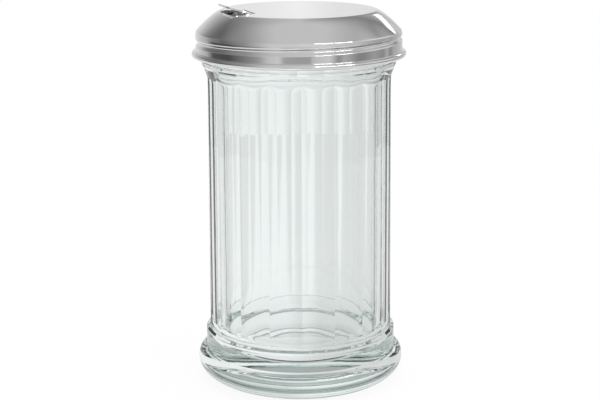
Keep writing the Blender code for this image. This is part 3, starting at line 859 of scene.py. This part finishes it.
plain_steel, tree, shader = new_material("stainless_steel_rolled")
place = add(tree, "ShaderNodeTexCoord").outputs["Object"]
stretched = add(tree, "ShaderNodeMapping", values=GRAIN_PLACE, links={"Vector": place}).outputs["Vector"]
grain = add(tree, "ShaderNodeTexNoise", values=GRAIN_NOISE, links={"Vector": stretched}).outputs[0]
grain_bump = add(tree, "ShaderNodeBump", values=GRAIN_BUMP, links={"Height": grain})
tone = add(tree, "ShaderNodeMix", COLOUR_MIX, GRAIN_TONES, {"Factor": grain})
tree.links.new(tone.outputs["Result"], shader.inputs["Base Color"])
tree.links.new(grain_bump.outputs["Normal"], shader.inputs["Normal"])
set_shader(shader, Metallic=1.0, Roughness=0.32)
use(bracket, plain_steel, "lid", "hinge_bracket")
use(pin, plain_steel, "lid", "hinge_pin")

# %% [markdown]
# The liner is low-density polyethylene, cut from extruded sheet: milky, waxy and a little cloudy. In the
# closed dispenser it is hardly seen, so a cloudy tone and a soft gloss are enough. Light scattered under
# its skin would take long to render and not show.

# %% Polyethylene
CLOUD_MM = 3.0
CLOUD_NOISE = {"Scale": PER_METRE / CLOUD_MM, "Detail": 3.0}
CLOUD_BUMP = {"Strength": 0.1, "Distance": 0.0001}
MILK_TONES = {"A": linear("E9E8E2"), "B": linear("F3F2EE")}

liner_plastic, tree, shader = new_material("polyethylene_sheet")
place = add(tree, "ShaderNodeTexCoord").outputs["Object"]
cloud = add(tree, "ShaderNodeTexNoise", values=CLOUD_NOISE, links={"Vector": place}).outputs[0]
milk = add(tree, "ShaderNodeMix", COLOUR_MIX, MILK_TONES, {"Factor": cloud})
wax_bump = add(tree, "ShaderNodeBump", values=CLOUD_BUMP, links={"Height": cloud})
tree.links.new(milk.outputs["Result"], shader.inputs["Base Color"])
tree.links.new(wax_bump.outputs["Normal"], shader.inputs["Normal"])
set_shader(shader, Roughness=0.42, IOR=1.51)
use(liner, liner_plastic, "liner", "rim_liner")

# %% [markdown]
# Polished metal and glass have hardly any colour of their own: they show the room. So the world matters
# more here than any lamp. A panorama picture would give a room at once, but this lesson reads no
# pictures, so each brightness is set by direction. Six bands go up from just under the horizon. Each has
# one colour ramp over the compass, and the elevation mixes each band with the next. The compass starts
# behind the object, and its degrees grow towards the right. A window of two bright panes is in front on
# the right, and a dimmer one is behind on the right. What is seen through the clear glass is a simpler
# veil of soft tones, because it would otherwise show all the contrasts of the room at once. The camera
# itself sees plain white.

# %% Room
# Each band: its elevation in degrees, and the tones round the compass there
ROOM_BANDS = (
    (-4, (
        (-180, 0.4), (-164, 0.42), (-158, 0.72), (-146, 0.62), (-135, 0.36), (-118, 0.22), (-97, 0.08),
        (-70, 0.1), (-57, 0.5), (-28, 0.75), (0, 0.8), (28, 0.6), (52, 0.45), (59, 0.28), (66, 0.5),
        (74, 0.3), (89, 0.4), (104, 0.28), (111, 0.27), (129, 0.5), (136, 0.3), (146, 0.72), (165, 0.6),
        (168, 0.4),
    )),
    (7, (
        (-180, 0.7), (-150, 0.7), (-118, 0.3), (-87, 0.15), (-57, 0.45), (-30, 0.72), (-8, 0.74),
        (-2, 0.86), (0, 0.98), (1.5, 0.84), (9, 0.8), (14, 0.68), (17, 0.5), (22, 0.75), (28, 0.66),
        (57, 0.5), (87, 0.46), (117, 0.6), (150, 0.7),
    )),
    (18, (
        (-180, 0.74), (-148, 0.72), (-116, 0.35), (-86, 0.18), (-56, 0.2), (-45, 0.22), (-30, 0.5),
        (-12, 0.55), (0, 0.64), (4, 0.4), (12, 0.35), (19, 0.6), (30, 0.5), (34, 0.2), (44, 0.6),
        (57, 0.9), (87, 0.9), (117, 0.74), (148, 0.8),
    )),
    (38, (
        (-180, 0.68), (-145, 0.61), (-110, 0.32), (-66, 0.18), (-52, 0.14), (-24, 0.23), (-12, 0.42),
        (0, 0.64), (4, 0.45), (8, 0.26), (34, 0.26), (52, 0.34), (66, 0.6), (80, 0.7), (103, 0.5),
        (144, 0.68),
    )),
    (54, (
        (-180, 0.64), (-138, 0.61), (-92, 0.32), (-39, 0.35), (-8, 0.58), (0, 0.64), (8, 0.45),
        (24, 0.38), (69, 0.5), (92, 0.5), (138, 0.68),
    )),
    (74, ((0, 0.65),)),
)
# The veil: its tones round the compass low down, its tone higher up, and where the one passes into the other
VEIL_TONES = (
    (-180, 0.9), (-100, 0.82), (-60, 0.78), (-30, 0.9), (-14, 1.0), (-3, 1.0), (6, 0.8), (25, 0.74),
    (60, 0.6), (100, 0.7),
)
VEIL_HIGH_TONE = 0.45
VEIL_START, VEIL_END = math.radians(10), math.radians(30)
# Each pane: azimuth from, azimuth to, elevation from, elevation to, brightness
PANES = ((114, 137, 26, 31, 10.0), (139, 162, 26, 31, 10.0), (17, 33, 17, 23, 2.5))
PANE_EDGE = math.radians(0.6)
HALF_TURN = 180

world = bpy.data.worlds.new("room")
bpy.context.scene.world = world
world.use_nodes = True
tree = world.node_tree
tree.nodes.clear()
way = add(tree, "ShaderNodeTexCoord").outputs["Generated"]
parts = add(tree, "ShaderNodeSeparateXYZ", links={"Vector": way}).outputs
on_the_level = {0: parts["X"], 1: parts["Y"]}
azimuth = add(tree, "ShaderNodeMath", {"operation": "ARCTAN2"}, links=on_the_level).outputs[0]
elevation = add(tree, "ShaderNodeMath", {"operation": "ARCSINE"}, links={0: parts["Z"]}).outputs[0]
full_turn = {"From Min": -math.pi, "From Max": math.pi}
compass = add(tree, "ShaderNodeMapRange", values=full_turn, links={"Value": azimuth}).outputs["Result"]


def even_grey(tone):
    """A linear grey of this brightness, where 1 is white."""
    return tone, tone, tone, 1.0


def set_stops(ramp, places):
    """Gives a colour ramp one stop for each (position, tone) pair, from left to right."""
    stops = ramp.color_ramp.elements
    stops.remove(stops[-1])
    stops[0].position = places[0][0]
    stops[0].color = even_grey(places[0][1])
    for position, tone in places[1:]:
        stops.new(position).color = even_grey(tone)


def tones_round(tones):
    """The grey in each direction of the compass, through these (degrees, tone) pairs."""
    ramp = add(tree, "ShaderNodeValToRGB", links={"Fac": compass})
    set_stops(ramp, [((degrees + HALF_TURN) / (2 * HALF_TURN), tone) for degrees, tone in tones])
    return ramp.outputs["Color"]


def share_between(low, high, value, kind="SMOOTHSTEP"):
    """How far the value has come on its way from low to high, from 0 to 1."""
    reach = {"From Min": low, "From Max": high}
    passed = add(tree, "ShaderNodeMapRange", {"interpolation_type": kind}, reach, {"Value": value})
    return passed.outputs["Result"]


room = tones_round(ROOM_BANDS[0][1])
for (below, _), (height, tones) in zip(ROOM_BANDS, ROOM_BANDS[1:]):
    share = share_between(math.radians(below), math.radians(height), elevation, "LINEAR")
    both = {"Factor": share, "A": room, "B": tones_round(tones)}
    room = add(tree, "ShaderNodeMix", COLOUR_MIX, links=both).outputs["Result"]

for azimuth_low, azimuth_high, elevation_low, elevation_high, brightness in PANES:
    edges = []
    sides = ((azimuth, azimuth_low, azimuth_high), (elevation, elevation_low, elevation_high))
    for value, low, high in sides:
        low, high = math.radians(low), math.radians(high)
        edges.append(share_between(low, low + PANE_EDGE, value))
        edges.append(share_between(high, high - PANE_EDGE, value))
    inside = edges[0]
    for edge in edges[1:]:
        product = add(tree, "ShaderNodeMath", {"operation": "MULTIPLY"}, links={0: inside, 1: edge})
        inside = product.outputs[0]
    pane = {"B": even_grey(brightness)}
    room = add(tree, "ShaderNodeMix", COLOUR_MIX, pane, {"Factor": inside, "A": room}).outputs["Result"]
print("room with", len(ROOM_BANDS), "bands and", len(PANES), "window panes")

# %% What the camera, the metal and the glass see of the room
WHITE = even_grey(1.0)

path = add(tree, "ShaderNodeLightPath").outputs
veil_share = share_between(VEIL_START, VEIL_END, elevation)
veil_high = {"B": even_grey(VEIL_HIGH_TONE)}
veil_low = {"Factor": veil_share, "A": tones_round(VEIL_TONES)}
veil = add(tree, "ShaderNodeMix", COLOUR_MIX, veil_high, veil_low).outputs["Result"]
glass_view = {"Factor": path["Is Transmission Ray"], "A": room, "B": veil}
room = add(tree, "ShaderNodeMix", COLOUR_MIX, links=glass_view).outputs["Result"]
studio = add(tree, "ShaderNodeBackground", values={"Strength": 1.0}, links={"Color": room})
white = add(tree, "ShaderNodeBackground", values={"Color": WHITE, "Strength": 1.0})
camera_view = {0: path["Is Camera Ray"], 1: studio.outputs[0], 2: white.outputs[0]}
seen = add(tree, "ShaderNodeMixShader", links=camera_view)
add(tree, "ShaderNodeOutputWorld", links={"Surface": seen.outputs[0]})
print("world made of", len(tree.nodes), "nodes")

# %% [markdown]
# The floor is a plain sheet of matt white card. The photograph's background is pure white. More light
# would bleach the object too, so the camera sees a share of the card as an even white glow, and the rest
# is ordinary shading, which keeps the faint shadow of the object. Mirrored in the metal and seen through
# the glass, the card glows by other shares. There the glow is painted light: a painted band of light,
# lighter just left of the middle and darker towards the sides, that stands for how the room's light falls.

# %% Floor
FLOOR_R = 0.48
FLOOR_SIDES = 96
EVEN_SHARE = 0.93
THROUGH_SHARE = 0.85
GLOSS_SHARE = 0.8
# Painted light on the glowing card from left to right, where the glass shows it and the metal mirrors it:
# each tone after its X
THROUGH_PAINTED_LIGHT = ((-0.05, 0.8), (-0.03, 1.0), (-0.005, 0.98), (0.01, 0.78), (0.05, 0.74))
# Real paper fibres are finer: this is as coarse as it has to be to show
FIBRE_MM = 1.0
FIBRE_NOISE = {"Scale": PER_METRE / FIBRE_MM, "Detail": 2.0}
CARD_TONES = {"A": linear("F4F4F4"), "B": linear("FBFBFB")}

bm = bmesh.new()
bmesh.ops.create_circle(bm, cap_ends=True, segments=FLOOR_SIDES, radius=FLOOR_R)
floor_mesh = bpy.data.meshes.new("floor")
bm.to_mesh(floor_mesh)
bm.free()
floor = bpy.data.objects.new("floor", floor_mesh)
bpy.context.scene.collection.objects.link(floor)

white_card, tree, shader = new_material("white_card")
place = add(tree, "ShaderNodeTexCoord").outputs["Object"]
fibre = add(tree, "ShaderNodeTexNoise", values=FIBRE_NOISE, links={"Vector": place}).outputs[0]
card = add(tree, "ShaderNodeMix", COLOUR_MIX, CARD_TONES, {"Factor": fibre})
tree.links.new(card.outputs["Result"], shader.inputs["Base Color"])
set_shader(shader, Roughness=0.9)

path = add(tree, "ShaderNodeLightPath").outputs
direct = add(
    tree, "ShaderNodeMath", {"operation": "MULTIPLY"}, {1: EVEN_SHARE}, {0: path["Is Camera Ray"]}
)
through = add(
    tree,
    "ShaderNodeMath",
    {"operation": "MULTIPLY_ADD"},
    {1: THROUGH_SHARE},
    {0: path["Is Transmission Ray"], 2: direct.outputs[0]},
)
mirrored = add(
    tree,
    "ShaderNodeMath",
    {"operation": "SUBTRACT", "use_clamp": True},
    links={0: path["Is Glossy Ray"], 1: path["Is Transmission Ray"]},
)
glow_share = add(
    tree,
    "ShaderNodeMath",
    {"operation": "MULTIPLY_ADD"},
    {1: GLOSS_SHARE},
    {0: mirrored.outputs[0], 2: through.outputs[0]},
)

left_x, right_x = THROUGH_PAINTED_LIGHT[0][0], THROUGH_PAINTED_LIGHT[-1][0]
width = {"From Min": left_x, "From Max": right_x}
across = add(tree, "ShaderNodeSeparateXYZ", links={"Vector": place}).outputs["X"]
along = add(tree, "ShaderNodeMapRange", values=width, links={"Value": across}).outputs["Result"]
# A painted band of light on the card's glow: lighter just left of the middle, darker towards either side
painted_light_ramp = add(tree, "ShaderNodeValToRGB", links={"Fac": along})
set_stops(painted_light_ramp, [((x - left_x) / (right_x - left_x), tone_there) for x, tone_there in THROUGH_PAINTED_LIGHT])
glow_view = {"Factor": path["Is Camera Ray"], "A": painted_light_ramp.outputs["Color"]}
glow_tone = add(tree, "ShaderNodeMix", COLOUR_MIX, {"B": WHITE}, glow_view).outputs["Result"]
glow = add(tree, "ShaderNodeEmission", values={"Strength": 1.0}, links={"Color": glow_tone})
shares = {0: glow_share.outputs[0], 1: shader.outputs[0], 2: glow.outputs[0]}
mixed = add(tree, "ShaderNodeMixShader", links=shares)
tree.links.new(mixed.outputs[0], tree.nodes["Material Output"].inputs["Surface"])
floor.data.materials.append(white_card)
print("floor:", mm(2 * FLOOR_R), "across")

# %% [markdown]
# One wide soft lamp overhead lifts the card and the top of the lid, as a soft box does in a studio. A
# sun or a point lamp would be simpler, but they draw hard shadows. The lamp is left out of what metal
# and glass show, because they already show the room.

# %% Lamp
LAMP_SIZE = 1.2
LAMP_HEIGHT = 1.3
LAMP_WATTS = 14.0

lamp_data = bpy.data.lights.new("soft_box", "AREA")
lamp_data.shape = "SQUARE"
lamp_data.size = LAMP_SIZE
lamp_data.energy = LAMP_WATTS
lamp = bpy.data.objects.new("soft_box", lamp_data)
lamp.location = (0.0, 0.0, LAMP_HEIGHT)
lamp.visible_glossy = False
lamp.visible_transmission = False
bpy.context.scene.collection.objects.link(lamp)
print(f"lamp: {LAMP_WATTS} W, {mm(LAMP_HEIGHT)} above the floor")

# %% [markdown]
# The camera was found from the photograph: the ellipses of the foot, the ledge, the rim and the crown
# fix its distance, height and tilt. It could be placed by eye until the picture looks right, but a near
# camera with a short lens and a far one with a long lens then look much the same, and only the ellipses
# tell them apart. It looks slightly down through a long lens, and leans by a little over a quarter of a
# degree.

# %% Camera
CAMERA_BACK = 0.5904
CAMERA_HEIGHT = 0.21239
CAMERA_PITCH = math.radians(13.512)
CAMERA_LEAN = math.radians(-0.28)
SENSOR_MM = 36.0
IMAGE_WIDTH = 600
FOCAL_PIXELS = 1550.5
AXIS_PIXEL = 299.65

camera_data = bpy.data.cameras.new("camera")
camera_data.sensor_width = SENSOR_MM
camera_data.lens = FOCAL_PIXELS * SENSOR_MM / IMAGE_WIDTH
camera_data.shift_x = (IMAGE_WIDTH / 2 - AXIS_PIXEL) / IMAGE_WIDTH
camera = bpy.data.objects.new("camera", camera_data)
bpy.context.scene.collection.objects.link(camera)
camera.matrix_world = (
    Matrix.Translation((0.0, -CAMERA_BACK, CAMERA_HEIGHT))
    @ Matrix.Rotation(math.pi / 2 - CAMERA_PITCH, 4, "X")
    @ Matrix.Rotation(CAMERA_LEAN, 4, "Z")
)
bpy.context.scene.camera = camera
bpy.context.scene.view_settings.view_transform = "Standard"
print(f"lens of {camera_data.lens:.1f} mm, {mm(CAMERA_BACK)} in front of the axis")
